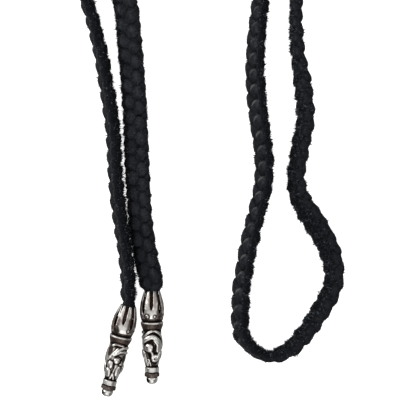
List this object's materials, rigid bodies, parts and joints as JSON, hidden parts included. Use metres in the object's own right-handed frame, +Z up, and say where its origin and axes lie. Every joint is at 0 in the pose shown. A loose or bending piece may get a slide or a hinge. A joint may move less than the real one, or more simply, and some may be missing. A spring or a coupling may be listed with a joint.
{
  "type": "braided leather lariat necklace",
  "caption": "Long braided leather cord doubled into a lariat necklace, lying flat, with a loop at the fold and cast silver tips with prongs and scrollwork on its free ends.",
  "frame": {"origin": "on the table, under the middle of the necklace's box", "axes": "+X to the right as seen from above with the neck loop away, +Y from the tips towards the back of the neck, +Z up from the table"},
  "size_m": [0.1412, 0.2892, 0.0082],
  "materials": {
    "black_deerskin": "soft black deerskin lace, smooth grain on the outside and suede at its cut edges",
    "oxidised_silver": "cast silver, polished on the raised parts and oxidised brown-black in the recesses"
  },
  "bodies": {
    "root": {"braid_inner": "black_deerskin", "braid_outer": "black_deerskin", "tip_right": "oxidised_silver", "tip_left": "oxidised_silver"}
  },
  "joints": []
}
